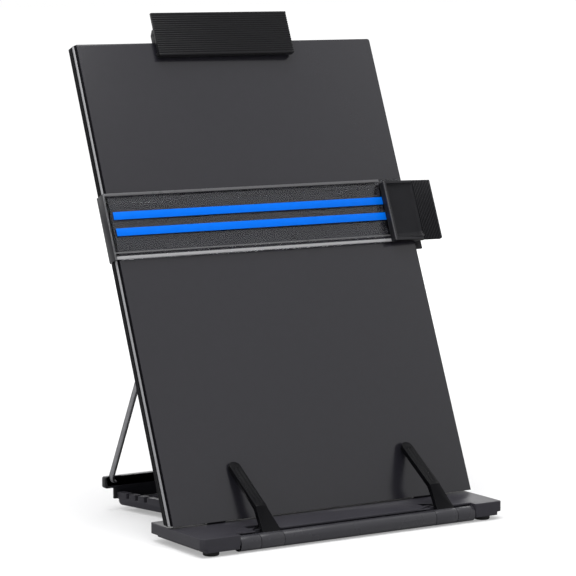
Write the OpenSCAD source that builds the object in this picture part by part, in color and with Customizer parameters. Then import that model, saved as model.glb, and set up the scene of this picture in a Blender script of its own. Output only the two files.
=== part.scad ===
// Desk copy holder with a sliding line guide.
// A leaning moulded board stands on a low base. A wire stand behind it drops into a notched
// rack, two sprung legs hold the page against the board, a clip holds its top, and a clear
// ruler with two stripes slides down the board to mark the line.
// The board is drawn in its own frame: x across, y into its depth, z up its slope.

/* [Board] */
// Width of the board
board_w = 240; // [220:1:260]
// Height of the board along its slope
board_h = 335.2; // [310:0.5:350]
// Depth of the flange round the board
board_d = 9; // [8:0.1:10]
// Thickness of the board's face
face_t = 2; // [1.6:0.1:2.4]
// Lean of the board back from upright, in its last notch
lean = 22.3; // [18:0.1:24]
// Radius of the board's corners
board_corner_r = 2; // [1.5:0.5:6]
// Radius of the round bead along each side edge
bead_r = 1.8; // [1.4:0.1:2]
// Thickness of the lip in front of the bead
lip_t = 1.2; // [1:0.1:1.6]
// Thickness of the ribs on the back of the board
rib_t = 1.6; // [1.2:0.1:2]
// Height of the ribs on the back of the board
rib_h = 3; // [2:0.2:4]
// Gap between the board and the base below it
board_gap = 1.3; // [1.2:0.1:2]

/* [Base] */
// Width of the base
base_w = 237; // [225:1:250]
// Distance from the board's foot to the front of the base
base_front = 38.5; // [36:0.5:44]
// Distance from the board's foot to the back of the base
base_rear = 30; // [26:1:36]
// Height of the top of the base over the desk
base_top = 12.6; // [12:0.1:14]
// Height of the lower edge of the cover over the desk
skirt_z = 5.5; // [5:0.1:6]
// Height of the underside of the base over the desk
pan_z = 3.2; // [3:0.1:4]
// Step from the cover in to the pan under it
pan_inset = 3.5; // [2:0.5:5]
// Wall of the cover
cover_t = 2.2; // [1.8:0.1:2.6]
// Radius of the base's corners seen from above
base_corner_r = 3; // [2:0.5:5]
// Radius of the base's top edges
base_edge_r = 0.8; // [0.4:0.1:1.2]
// Distance of the tray's front edge behind the front of the base
tray_in = 7; // [6:0.5:8]
// Drop of the bay behind each leg at its front edge
bay_drop = 0.6; // [0.4:0.1:0.8]
// Distance of the bay's back edge in front of the board's foot
bay_back = 7.6; // [6:0.2:9]
// Width of the bay beside each hub
bay_side = 10; // [8:0.5:12]
// Depth of the slot behind each leg, from front to back
slot_d = 6.5; // [4:0.5:7]

/* [Front rail] */
// Height of the rail
rail_h = 10.2; // [9.6:0.1:10.4]
// Height of the rail's underside over the desk
rail_z = 0.7; // [0.5:0.1:1.2]
// Depth of the rail from front to back
rail_d = 10.2; // [9.6:0.1:10.4]
// Radius of the rail's corners
rail_r = 4.6; // [3.8:0.1:4.8]
// Width of the block at the left end of the rail
left_block_w = 29.5; // [24:0.5:34]
// Width of the block at the right end of the rail
right_block_w = 22.5; // [18:0.5:28]
// Diameter of the steel rod in the rail
rod_d = 3; // [2.4:0.1:3.4]

/* [Legs] */
// Distance from the left block to the middle of the left leg's hub
left_hub_in = 24.3; // [20:0.1:28]
// Distance from the right block to the middle of the right leg's hub
right_hub_in = 23; // [20:0.1:28]
// Width of each hub
hub_w = 18; // [16:0.5:20]
// Width of the bar of each leg
bar_w = 8; // [6:0.5:9]
// Step from the hub's left end in to the bar
bar_inset = 4; // [3:0.5:5]
// Thickness of each leg
leg_t = 3.6; // [3:0.2:4.6]
// Slope of the lower part of each leg
shin_slope = 60; // [56:1:64]
// Length of the lower part of each leg from the rod to the knee
shin_len = 23; // [20:0.5:26]
// Slope of the upper part of each leg
bar_slope = 33; // [28:1:34]
// Diameter of the spring wire in the hubs
leg_spring_wire = 1; // [0.8:0.1:1]

/* [Rack] */
// Height of the rack's underside over the desk
rack_z = 3.9; // [3.7:0.1:4.2]
// Thickness of the rack's side arms
arm_t = 5; // [4:0.5:6]
// Thickness of the rack's floor
rack_floor_t = 2; // [1.6:0.1:2.4]
// Width of the rack where it meets the base
rack_front_w = 124; // [116:1:132]
// Number of seats for the foot, with the last one behind the teeth
seats = 4; // [3:1:5]
// Distance between two seats
seat_pitch = 9; // [8:0.1:10]
// Width of the tooth at the rack's back end
rear_tooth_w = 9.4; // [8:0.1:11]
// Width of each notch between two teeth
notch_w = 3; // [2.8:0.1:3.8]
// Height of the floor of each notch over the desk
notch_z = 8.7; // [8:0.1:9.2]
// Height of the sill behind the teeth over the desk
sill_z = 7.4; // [7:0.1:8]
// Step of the arms' lower end in from their back end
arm_step = 1.8; // [1:0.1:2.4]
// Radius of the corners of the teeth
tooth_r = 0.9; // [0.5:0.1:1.2]
// Slope of the ramp behind the last seat
ramp_slope = 21; // [16:1:23]
// Length of the ramp behind the last seat
ramp_len = 6.5; // [5:0.5:8]

/* [Stand] */
// Place of the stand's pivot up the board
pivot_s = 153.2; // [148:0.2:156]
// Depth of the stand's pivot behind the board's face
pivot_d = 6.5; // [6.2:0.1:6.8]
// Length of the stand from its pivot to its lower run
wire_len = 152.8; // [150:0.1:158]
// Diameter of the stand's wire
wire_d = 4; // [3.4:0.1:4.2]
// Distance between the stand's legs
stand_w = 180; // [176:1:182]
// Bend radius of the stand's wire
bend_r = 5; // [4.5:0.1:6]
// Length of the bent end of the wire beyond its bend
stub_len = 10; // [9:0.5:12]
// Length of the moulded foot bar
foot_w = 190; // [188:1:196]
// Thickness of the foot bar from front to back
foot_t = 5; // [4.8:0.1:6]
// Height of the foot bar
foot_h = 8.1; // [7.6:0.1:9]
// Height of the wire's lower run over the desk
run_z = 19.5; // [19:0.1:20.5]
// Length of the blade under the foot bar
blade_w = 176; // [175:0.2:178]
// Thickness of the blade
blade_t = 2; // [1.6:0.1:2.2]

/* [Top clip] */
// Place of the clip's centre across the board
clip_x = -4; // [-12:0.5:12]
// Width of the clip's jaw
jaw_w = 108.5; // [100:0.5:116]
// Height of the clip's jaw
jaw_h = 31.4; // [30:0.2:36]
// Height of the jaw that stands above the board
jaw_above = 20.1; // [18:0.1:22]
// Thickness of the jaw's plate
jaw_t = 2.6; // [2.2:0.1:3]
// Distance of the jaw's front from the board's face
jaw_front = 6; // [5.6:0.1:6.6]
// Height of the clip's pin above the board
clip_pin_s = 6.5; // [6.3:0.1:7]
// Depth of the clip's pin behind the board's face
clip_pin_y = 2.4; // [2.2:0.1:2.8]
// Diameter of the clip's pin
clip_pin_d = 2.5; // [2:0.1:2.6]
// Distance between two ribs on the jaw
jaw_rib_pitch = 1.6; // [1.4:0.1:2]

/* [Line guide] */
// Place of the guide's lower edge up the board
guide_s = 182; // [150:1:220]
// Height of the guide's strip
strip_h = 46; // [44:0.5:48]
// Thickness of the strip
strip_t = 1.5; // [1.2:0.1:1.6]
// Gap for the page behind the strip
page_gap = 0.5; // [0.4:0.1:0.8]
// Height of the ribs along the strip's edges
strip_rib = 0.8; // [0.5:0.1:1]
// Width of each coloured stripe
stripe_w = 5.4; // [4:0.1:6]
// Height of the lower stripe's edge over the strip's lower edge
stripe_s = 16.2; // [14:0.1:17]
// Distance between the two stripes, edge to edge of the same side
stripe_pitch = 11.4; // [10:0.1:12]
// Thickness of the coloured stripes
stripe_t = 0.3; // [0.2:0.1:0.4]
// Width of the clamp across the board's edge
clamp_w = 41.8; // [39:0.1:44]
// Height of the clamp
clamp_h = 44; // [42:0.5:46]
// Distance of the clamp's front from the board's face
clamp_front = 8; // [7.6:0.1:8.6]
// Reach of the clamp beyond the board's edge
clamp_reach = 20.8; // [18:0.1:22]
// Rim round the clamp's pocket
rim_t = 1.9; // [1.6:0.1:2.2]
// Width of the clamp's ribbed finger pad
finger_w = 16.8; // [14:0.1:18]
// Distance of the clamp's pin beyond the board's edge
clamp_pin_x = 3.6; // [3.5:0.1:3.9]
// Depth of the clamp's pin behind the board's face
clamp_pin_y = 4.2; // [4:0.1:4.6]
// Diameter of the clamp's pin
clamp_pin_d = 2; // [1.6:0.1:2.2]

/* [Hinges] */
// Distance of each hinge from the middle of the board
hinge_x = 82; // [78:1:86]
// Width of each hinge ear
hinge_w = 12; // [10:0.5:14]
// Diameter of the hinge pins
hinge_pin_d = 2.4; // [2:0.1:2.5]
// Depth of the hinge pins behind the board's face
hinge_y = 4.4; // [4.3:0.1:4.8]
// Height of the hinge pins up the board
hinge_s = 4.2; // [4.1:0.1:4.6]

/* [Fits] */
// Clearance between parts that move past each other
gap = 0.3; // [0.25:0.05:0.4]
// Clearance round a pin in its bore
run_gap = 0.05; // [0.03:0.01:0.08]
// Diameter of the feet
foot_d = 11; // [9:0.5:12]
// Diameter of the screws
screw_d = 2.4; // [2:0.1:2.6]

/* [Hidden] */
$fn = 48;
eps = 0.01;
big = 500;

body_grey = "#3a3a3e";
board_grey = "#424246";
near_black = "#232327";
steel = "#b9bcc0";
stripe_blue = "#0a6fe8";
rubber = "#1c1c1e";

// the board's foot line lies at y = 0, at this height
foot_line_z = base_top + board_gap;
function up_board(y, s) = [y * cos(lean) + s * sin(lean),
    foot_line_z - y * sin(lean) + s * cos(lean)];

// front rail and leg hubs
rod_y = rail_d / 2 - base_front;
rod_z = rail_z + rail_h / 2;
rail_x0 = left_block_w - base_w / 2;
rail_x1 = base_w / 2 - right_block_w;
left_hub_x = rail_x0 + left_hub_in;
right_hub_x = rail_x1 - right_hub_in;
rail_mid_x0 = left_hub_x + hub_w / 2;
rail_mid_x1 = right_hub_x - hub_w / 2;
rod_seat = 6;
tray_y = tray_in - base_front;
hub_sweep_r = (rail_h / 2 - rail_r) * sqrt(2) + rail_r;
channel_y = rail_d - base_front + gap;
slot_y = rod_y + hub_sweep_r + 6.5;

// legs
knee_y = rod_y - 1.4 + shin_len * cos(shin_slope);
knee_z = rod_z + shin_len * sin(shin_slope);
// the underside of the bar runs on from the knee until it is one gap from the board's face
face_dir = [cos(lean), -sin(lean)];
bar_under_y = knee_y + leg_t / 2 * sin(bar_slope);
bar_under_z = knee_z - leg_t / 2 * cos(bar_slope);
knee_depth = face_dir * [bar_under_y, bar_under_z - foot_line_z];
bar_closing = face_dir * [cos(bar_slope), sin(bar_slope)];
bar_len = (-gap - knee_depth) / bar_closing;
// the knee is rounded a little fuller than the flats that meet in it
knee_r = leg_t / 2 + 0.05;

// stand
wire_half = stand_w / 2;
foot_half = foot_w / 2;
blade_half = blade_w / 2;
rack_half_front = rack_front_w / 2;
rack_half_rear = wire_half - 4;
pivot = up_board(pivot_d, pivot_s);
run_y = pivot[0] + sqrt(wire_len * wire_len - (pivot[1] - run_z) * (pivot[1] - run_z));
wire_lean = atan2(run_y - pivot[0], pivot[1] - run_z);
foot_front_y = run_y - wire_d / 2;
blade_y0 = foot_front_y;
blade_y1 = blade_y0 + blade_t;
blade_z = sill_z + gap;
rack_end_y = blade_y0 - gap;
rack_rear_y = blade_y1 + gap + ramp_len;

// top clip
jaw_s1 = board_h + jaw_above;
jaw_s0 = jaw_s1 - jaw_h;
clip_s = board_h + clip_pin_s;
clip_ear_t = 4;
clip_ear_rise = 2 * clip_pin_d + 0.2;
clip_plate_t = 2;
clip_ear_out = jaw_w / 2 - 4.5;
bridge_t = 2.5;
grip_t = 1;

// line guide
strip_y1 = -page_gap;
strip_y0 = strip_y1 - strip_t;
clamp_x1 = board_w / 2 + clamp_reach;
clamp_x0 = clamp_x1 - clamp_w;
clamp_s0 = guide_s + strip_h / 2 - clamp_h / 2 - 1.8;
clamp_s1 = clamp_s0 + clamp_h;
clamp_tilt = 4;
finger_t = 2.6;
finger_corner_r = 1.5;
pad_x0 = clamp_x1 - finger_w;
hook_t = 1;
pin_x = board_w / 2 + clamp_pin_x;
clamp_ear_r = 2.9;
clamp_ear_t = 4;

// the origin sits under the middle of the whole object
hook_x = board_w / 2 + gap + hook_t;
origin_x = (clamp_x1 - hook_x) / 2;
origin_y = (rack_rear_y - base_front) / 2;

module place() {
    translate([-origin_x, -origin_y, 0])
        children();
}

module on_board() {
    place()
        translate([0, 0, foot_line_z])
            rotate([-lean, 0, 0])
                children();
}

// a flat shape drawn as (y, z) and pulled along x
module pulled_x(x0, x1) {
    translate([x0, 0, 0])
        rotate([90, 0, 90])
            linear_extrude(height = x1 - x0)
                children();
}

// a flat shape drawn as (x, z) and pulled along y
module pulled_y(y0, y1) {
    translate([0, y1, 0])
        rotate([90, 0, 0])
            linear_extrude(height = y1 - y0)
                children();
}

module round_rect(p0, p1, r) {
    translate([p0[0] + r, p0[1]])
        square([p1[0] - p0[0] - 2 * r, p1[1] - p0[1]]);
    translate([p0[0], p0[1] + r])
        square([p1[0] - p0[0], p1[1] - p0[1] - 2 * r]);
    for (x = [p0[0] + r, p1[0] - r])
        for (y = [p0[1] + r, p1[1] - r])
            translate([x, y])
                circle(r);
}

// a block with round upright edges and round top edges
module soft_block(lo, hi, plan_r, edge_r) {
    intersection() {
        translate([0, 0, lo[2]])
            linear_extrude(height = hi[2] - lo[2])
                round_rect([lo[0], lo[1]], [hi[0], hi[1]], plan_r);
        pulled_x(lo[0] - 1, hi[0] + 1)
            round_rect([lo[1], lo[2] - 2 * edge_r], [hi[1], hi[2]], edge_r);
        pulled_y(lo[1] - 1, hi[1] + 1)
            round_rect([lo[0], lo[2] - 2 * edge_r], [hi[0], hi[2]], edge_r);
    }
}

module rod_x(x0, x1, r) {
    translate([x0, 0, 0])
        rotate([0, 90, 0])
            cylinder(r = r, h = x1 - x0);
}

// a wound spring round the x axis with two straight arms, swept from rings
function spring_spot(a, x0, pitch, r) = [x0 + pitch * a / 360, r * cos(a), r * sin(a)];
function spring_ring(c, a, w, sides) =
    [for (k = [0 : sides - 1]) c + w * (cos(360 * k / sides) * [0, cos(a), sin(a)]
        + sin(360 * k / sides) * [1, 0, 0])];

module torsion_spring(x0, turns, r, w, a0, arm) {
    sides = 8;
    steps = ceil(turns * 12);
    pitch = 2 * w + 0.25;
    a1 = a0 + turns * 360;
    start_dir = [0, sin(a0), -cos(a0)];
    end_dir = [0, -sin(a1), cos(a1)];
    angles = concat([a0], [for (i = [0 : steps]) a0 + (a1 - a0) * i / steps], [a1]);
    spots = concat([spring_spot(a0, x0, pitch, r) - spring_spot(0, 0, 0, 0) + arm * start_dir],
        [for (i = [0 : steps]) spring_spot(a0 + (a1 - a0) * i / steps, x0, pitch, r)
            - [pitch * a0 / 360, 0, 0]],
        [spring_spot(a1, x0, pitch, r) - [pitch * a0 / 360, 0, 0] + arm * end_dir]);
    rings = len(spots);
    points = [for (i = [0 : rings - 1]) each spring_ring(spots[i], angles[i], w, sides)];
    walls = [for (i = [0 : rings - 2]) for (k = [0 : sides - 1])
        [i * sides + k, i * sides + (k + 1) % sides,
         (i + 1) * sides + (k + 1) % sides, (i + 1) * sides + k]];
    cap_a = [[for (k = [sides - 1 : -1 : 0]) k]];
    cap_b = [[for (k = [0 : sides - 1]) (rings - 1) * sides + k]];
    polyhedron(points = points, faces = concat(walls, cap_a, cap_b), convexity = 10);
}

// ---------------------------------------------------------------- base

boss_x = base_w / 2 - 18.5;
boss_y = base_rear - 12;
boss_spots = [[-boss_x, boss_y], [-boss_x, -boss_y], [boss_x, boss_y], [boss_x, -boss_y],
    [0, 6 - boss_y]];
boss_r = 3.6;
screw_head_r = 2.4;
screw_head_h = 1.3;

// the tray overhangs the back half of the rail
module rail_channel() {
    rail_top = rail_z + rail_h + gap;
    front = -base_front - 5;
    pulled_x(rail_x0 - gap, rail_x1 + gap)
        polygon([[front, -1], [channel_y, -1], [channel_y, rail_top], [tray_y, rail_top],
            [tray_y, base_top + 5], [front, base_top + 5]]);
}

// room for the turning hubs and the spring barrels beside them
module turning_room() {
    translate([0, rod_y, rod_z]) {
        rod_x(rail_x0 - gap, rail_mid_x0 + gap, hub_sweep_r + gap);
        rod_x(rail_mid_x1 - gap, rail_x1 + gap, hub_sweep_r + gap);
    }
}

// a shallow bay in the tray behind each leg, and a gap in the tray's edge for its shin
module leg_bays() {
    for (x = [left_hub_x, right_hub_x]) {
        pulled_x(x - hub_w / 2 - bay_side, x + hub_w / 2 + gap)
            polygon([[-bay_back, base_top], [-bay_back, base_top + 1], [tray_y - 1, base_top + 1],
                [tray_y - 1, base_top - bay_drop]]);
        translate([x - hub_w / 2 - gap, -base_front - 1, rod_z])
            cube([hub_w + 2 * gap, channel_y + 0.4 + base_front + 1, base_top]);
    }
}

module hinge_ear_shape() {
    ear_r = hinge_y - face_t - gap;
    axis = up_board(hinge_y, hinge_s);
    difference() {
        union() {
            translate([axis[0], axis[1]])
                circle(ear_r);
            translate([axis[0] - ear_r, base_top - 1])
                square([2 * ear_r, axis[1] - base_top + 1]);
        }
        translate([axis[0], axis[1]])
            circle(hinge_pin_d / 2 + run_gap);
    }
}

module base_cover() {
    color(body_grey)
        place() {
            difference() {
                union() {
                    soft_block([-base_w / 2, -base_front, skirt_z],
                        [base_w / 2, base_rear, base_top], base_corner_r, base_edge_r);
                    // the end blocks run on down beside the rail
                    soft_block([pan_inset - base_w / 2, -base_front, pan_z],
                        [rail_x0 - gap, channel_y, skirt_z + 2], 1.5, 0.4);
                    soft_block([rail_x1 + gap, -base_front, pan_z],
                        [base_w / 2 - pan_inset, channel_y, skirt_z + 2], 1.5, 0.4);
                }
                rail_channel();
                turning_room();
                leg_bays();
                // seats for the rod in the end blocks
                translate([0, rod_y, rod_z])
                    rod_x(rail_x0 - gap - rod_seat, rail_x1 + gap + rod_seat, rod_d / 2);
                // hollow under the tray
                pulled_x(cover_t - base_w / 2, base_w / 2 - cover_t)
                    translate([channel_y + 1.6, 0])
                        square([base_rear - cover_t - channel_y - 1.6, base_top - cover_t]);
                // slot under the channel wall for the rail's web
                pulled_x(rail_mid_x0, rail_mid_x1)
                    translate([channel_y - 1, 0])
                        square([4, pan_top + web_t]);
                // a slot behind each leg
                for (x = [left_hub_x, right_hub_x])
                    translate([x - hub_w / 2, slot_y, 0])
                        cube([hub_w, slot_d, base_top + 1]);
                // mouth in the back wall for the rack's tongue
                pulled_x(-tongue_half, tongue_half)
                    translate([base_rear - cover_t - 1, 0])
                        square([cover_t + 2, pan_top + rack_floor_t]);
            }
            // screw posts hang from the top wall
            difference() {
                for (p = boss_spots)
                    translate([p[0], p[1], pan_top])
                        cylinder(r = boss_r, h = base_top - cover_t - pan_top + 0.5);
                for (p = boss_spots)
                    translate([p[0], p[1], 0])
                        cylinder(r = screw_d / 2, h = screw_tip_z);
            }
            for (side = [-1, 1])
                pulled_x(side * hinge_x - hinge_w / 2, side * hinge_x + hinge_w / 2)
                    hinge_ear_shape();
        }
}

pan_top = skirt_z;
web_t = 1.8;
tongue_half = 45;
screw_tip_z = pan_top + 3.6;

module base_pan() {
    color(body_grey)
        place()
            difference() {
                translate([0, 0, pan_z])
                    linear_extrude(height = pan_top - pan_z)
                        round_rect([pan_inset - base_w / 2, channel_y],
                            [base_w / 2 - pan_inset, base_rear - pan_inset + 0.5], 2);
                turning_room();
                for (p = boss_spots)
                    translate([p[0], p[1], 0]) {
                        cylinder(r = screw_d / 2, h = pan_top + 1);
                        cylinder(r = screw_head_r, h = pan_z + screw_head_h);
                    }
            }
}

module base_screws() {
    color(steel)
        place()
            for (p = boss_spots)
                translate([p[0], p[1], pan_z + 0.2])
                    difference() {
                        union() {
                            cylinder(r = screw_head_r - 0.1, h = screw_head_h - 0.2);
                            cylinder(r = screw_d / 2, h = screw_tip_z - pan_z - 0.2);
                        }
                        for (turn = [0, 90])
                            rotate([0, 0, turn])
                                translate([-1.4, -0.3, -eps])
                                    cube([2.8, 0.6, 0.6]);
                    }
}

front_foot_x = base_w / 2 - 11.5;
front_foot_y = -base_front + 8;
rear_foot_x = 48;
rear_foot_y = rack_end_y - 12;

module one_foot(h) {
    rotate_extrude()
        polygon([[0, 0], [foot_d / 2 - 0.8, 0], [foot_d / 2 - 0.2, 0.5], [foot_d / 2, h], [0, h]]);
}

module feet() {
    color(rubber)
        place()
            for (side = [-1, 1]) {
                translate([side * front_foot_x, front_foot_y, 0])
                    one_foot(pan_z);
                translate([side * rear_foot_x, rear_foot_y, 0])
                    one_foot(rack_z);
            }
}

// ---------------------------------------------------------------- rail and legs

module rail_shape() {
    translate([rod_y, rod_z])
        round_rect([-rail_d / 2, -rail_h / 2], [rail_d / 2, rail_h / 2], rail_r);
}

module front_rail() {
    color(body_grey)
        place()
            difference() {
                union() {
                    pulled_x(rail_mid_x0, rail_mid_x1)
                        rail_shape();
                    // web that is held between the cover and the pan
                    pulled_x(rail_mid_x0 + 2, rail_mid_x1 - 2)
                        translate([rod_y, pan_top])
                            square([channel_y + 9 - rod_y, web_t - 0.1]);
                }
                translate([0, rod_y, rod_z])
                    rod_x(rail_x0, rail_x1, rod_d / 2);
                // the web is cut back round the middle post
                for (p = boss_spots)
                    translate([p[0], p[1], 0])
                        cylinder(r = boss_r + 0.4, h = base_top);
            }
}

module rail_rod() {
    color(steel)
        place()
            translate([0, rod_y, rod_z])
                rod_x(rail_x0 - gap - rod_seat, rail_x1 + gap + rod_seat, rod_d / 2);
}

spring_turns = 7;
spring_r = 3.1;
spring_in = 1.4;
pocket_r = 4.05;
pocket_w = 12;

// the rail's short end piece turns on the rod and holds one end of the leg's spring
module spring_barrel(x, side, end) {
    face = x + side * hub_w / 2;
    collar = face - side * (gap + spring_in - leg_spring_wire / 2);
    color(body_grey)
        place()
            difference() {
                union() {
                    pulled_x(min(face, end), max(face, end))
                        rail_shape();
                    translate([0, rod_y, rod_z])
                        rod_x(min(collar, face + side), max(collar, face + side), pocket_r - gap);
                }
                translate([0, rod_y, rod_z])
                    rod_x(min(collar, end) - 1, max(collar, end) + 1, rod_d / 2 + run_gap);
            }
}

module hub_spring(x, side) {
    color(steel)
        place()
            translate([x, rod_y, rod_z])
                mirror([side > 0 ? 1 : 0, 0, 0])
                    torsion_spring(gap + spring_in - hub_w / 2, spring_turns, spring_r,
                        leg_spring_wire / 2, 90, 1.2);
}

// flat outline of the bar: along its length and across it, with a round end
module bar_outline(len) {
    translate([0, 0])
        square([len - bar_w / 2, bar_w]);
    translate([len - bar_w / 2, bar_w / 2])
        circle(bar_w / 2);
}

// the leg is a bar bent at its knee, wider towards the hub
module page_leg(x, side) {
    left = x - hub_w / 2 + bar_inset;
    right_root = x + hub_w / 2 - gap;
    color(near_black)
        place()
            difference() {
                union() {
                    pulled_x(x - hub_w / 2 + gap, x + hub_w / 2 - gap)
                        rail_shape();
                    // shin, from the hub up to the knee
                    translate([0, rod_y - 1.4, rod_z])
                        rotate([90 - (90 - shin_slope), 0, 0])
                            translate([0, 0, -leg_t / 2])
                                linear_extrude(height = leg_t)
                                    polygon([[left, 0], [right_root, 0], [right_root, 5],
                                        [left + bar_w, shin_len], [left, shin_len]]);
                    // knee
                    translate([0, knee_y, knee_z])
                        rod_x(left, left + bar_w, knee_r);
                    // bar, from the knee back to the board
                    translate([0, knee_y, knee_z])
                        rotate([bar_slope, 0, 0])
                            translate([left + bar_w, 0, -leg_t / 2])
                                rotate([0, 0, 90])
                                    linear_extrude(height = leg_t)
                                        bar_outline(bar_len);
                }
                // running bore and the pocket for the spring
                translate([0, rod_y, rod_z]) {
                    rod_x(x - hub_w, x + hub_w, rod_d / 2 + run_gap);
                    rod_x(side < 0 ? x - hub_w / 2 : x + hub_w / 2 - pocket_w,
                        side < 0 ? x - hub_w / 2 + pocket_w : x + hub_w / 2, pocket_r);
                }
                // two shallow grooves along the bar
                translate([0, knee_y, knee_z])
                    rotate([bar_slope, 0, 0])
                        for (k = [1, 2])
                            translate([left + k * bar_w / 3 - 0.6, 3, leg_t / 2 - 0.4])
                                cube([1.2, bar_len - 9, 1]);
                // the end is cut to the board's slope, so it meets the page flat
                translate([0, 0, foot_line_z])
                    rotate([-lean, 0, 0])
                        translate([-big / 2, -tip_pad_t - gap, -big / 2])
                            cube([big, big, big]);
            }
}

tip_pad_t = 0.9;

module leg_tip(x) {
    left = x - hub_w / 2 + bar_inset;
    tip = [knee_y + bar_len * cos(bar_slope), knee_z + bar_len * sin(bar_slope)];
    tip_s = (tip - [0, foot_line_z]) * [sin(lean), cos(lean)];
    color(rubber)
        on_board()
            translate([left + bar_w / 2, -gap, tip_s - leg_t])
                rotate([90, 0, 0])
                    cylinder(r = bar_w / 2 - 1.4, h = tip_pad_t);
}

module left_spring_barrel() {
    spring_barrel(left_hub_x, -1, rail_x0);
}

module left_leg_spring() {
    hub_spring(left_hub_x, -1);
}

module left_leg() {
    page_leg(left_hub_x, -1);
}

module left_leg_tip() {
    leg_tip(left_hub_x);
}

module right_spring_barrel() {
    spring_barrel(right_hub_x, 1, rail_x1);
}

module right_leg_spring() {
    hub_spring(right_hub_x, 1);
}

module right_leg() {
    page_leg(right_hub_x, 1);
}

module right_leg_tip() {
    leg_tip(right_hub_x);
}

// ---------------------------------------------------------------- rack

// side view of an arm: a solid bar with notches towards its back end
module arm_side() {
    last_notch_y = rack_end_y - rear_tooth_w - notch_w / 2;
    first_notch_y = last_notch_y - (seats - 2) * seat_pitch;
    solid_end = first_notch_y - notch_w / 2;
    low_end = rack_end_y - arm_step;
    // bar under the teeth, with a round lower back corner
    translate([base_rear, rack_z])
        square([low_end - base_rear - 3, notch_z - rack_z]);
    translate([low_end - 4, rack_z + 3])
        square([4, notch_z - rack_z - 3]);
    translate([low_end - 3, rack_z + 3])
        circle(3);
    // solid front stretch
    translate([base_rear, rack_z])
        square([solid_end - tooth_r - base_rear, base_top - rack_z]);
    translate([base_rear, rack_z])
        square([solid_end - base_rear, base_top - tooth_r - rack_z]);
    translate([solid_end - tooth_r, base_top - tooth_r])
        circle(tooth_r);
    // teeth
    for (k = [0 : seats - 2]) {
        y0 = first_notch_y + notch_w / 2 + k * seat_pitch;
        y1 = k == seats - 2 ? rack_end_y : y0 + seat_pitch - notch_w;
        translate([y0, notch_z - 1])
            square([y1 - y0, base_top - tooth_r - notch_z + 1]);
        translate([y0 + tooth_r, base_top - tooth_r - 1])
            square([y1 - y0 - 2 * tooth_r, 1 + tooth_r]);
        for (y = [y0 + tooth_r, y1 - tooth_r])
            translate([y, base_top - tooth_r])
                circle(tooth_r);
    }
}

function flare_x(y) = rack_half_front
    + (rack_half_rear - rack_half_front) * (y - base_rear) / (rack_end_y - base_rear);

module arm_plan(side) {
    polygon([[side * flare_x(base_rear), base_rear], [side * flare_x(rack_end_y), rack_end_y],
        [side * (flare_x(rack_end_y) - arm_t), rack_end_y],
        [side * (flare_x(base_rear) - arm_t), base_rear]]);
}

stop_half = 70;

module rear_rack() {
    color(body_grey)
        place()
            difference() {
                union() {
                    for (side = [-1, 1])
                        intersection() {
                            pulled_x(-big / 2, big / 2)
                                arm_side();
                            linear_extrude(height = base_top)
                                arm_plan(side);
                        }
                    // floor between the arms
                    translate([0, 0, rack_z])
                        linear_extrude(height = rack_floor_t)
                            polygon([[-flare_x(base_rear) + 1, base_rear],
                                [1 - flare_x(rack_end_y - 4), rack_end_y - 4],
                                [flare_x(rack_end_y - 4) - 1, rack_end_y - 4],
                                [flare_x(base_rear) - 1, base_rear]]);
                    // back stop: a sill under the blade and a ramp behind it
                    pulled_x(-stop_half, stop_half)
                        polygon([[rack_end_y - 6, rack_z], [rack_end_y - 6, sill_z],
                            [blade_y1 + gap, sill_z],
                            [rack_rear_y - 1.5, sill_z + (ramp_len - 1.5) * tan(ramp_slope)],
                            [rack_rear_y, sill_z + (ramp_len - 1.5) * tan(ramp_slope) - 1],
                            [rack_rear_y, rack_z]]);
                    // tongue that the base holds
                    translate([gap - tongue_half, base_rear - 18, pan_top])
                        cube([2 * (tongue_half - gap), 20, rack_floor_t - 0.1]);
                    translate([gap - tongue_half, base_rear, rack_z])
                        cube([2 * (tongue_half - gap), 2, pan_top - rack_z + rack_floor_t - 0.1]);
                }
                // window in the floor
                translate([0, 0, rack_z - 1])
                    linear_extrude(height = rack_floor_t + 2)
                        round_rect([-40, base_rear + 14], [40, rack_end_y - 26], 6);
            }
}

// ---------------------------------------------------------------- board

rib_s = [96, 210, 268];
rib_x = [-56, 56];
clip_screw_s = board_h - 16;
clip_screw_x = [clip_x - 30, clip_x + 30];
cheek_t = 2.5;
saddle_w = 8;
saddle_x = wire_half - bend_r - 1 - saddle_w / 2;

// section of the board across its width: a lip, a round bead and a flat flange on each side
module board_section() {
    core = board_w / 2 - bead_r;
    tail = board_w / 2 - 0.8;
    translate([-core, 0])
        square([2 * core, board_d]);
    translate([-tail, lip_t + 2 * bead_r])
        square([2 * tail, board_d - lip_t - 2 * bead_r]);
    translate([lip_t / 2 - board_w / 2, 0])
        square([board_w - lip_t, lip_t]);
    for (side = [-1, 1]) {
        translate([side * (board_w / 2 - lip_t / 2), lip_t / 2])
            circle(lip_t / 2);
        translate([side * core, lip_t + 1.2 + bead_r])
            circle(bead_r);
    }
}

module hinge_cheeks() {
    for (side = [-1, 1])
        for (end = [-1, 1]) {
            inner = end * (hinge_w / 2 + gap);
            outer = end * (hinge_w / 2 + gap + cheek_t);
            translate([side * hinge_x + min(inner, outer), face_t - 0.5, 0])
                cube([cheek_t, board_d - face_t - 0.6, 14]);
        }
}

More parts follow.
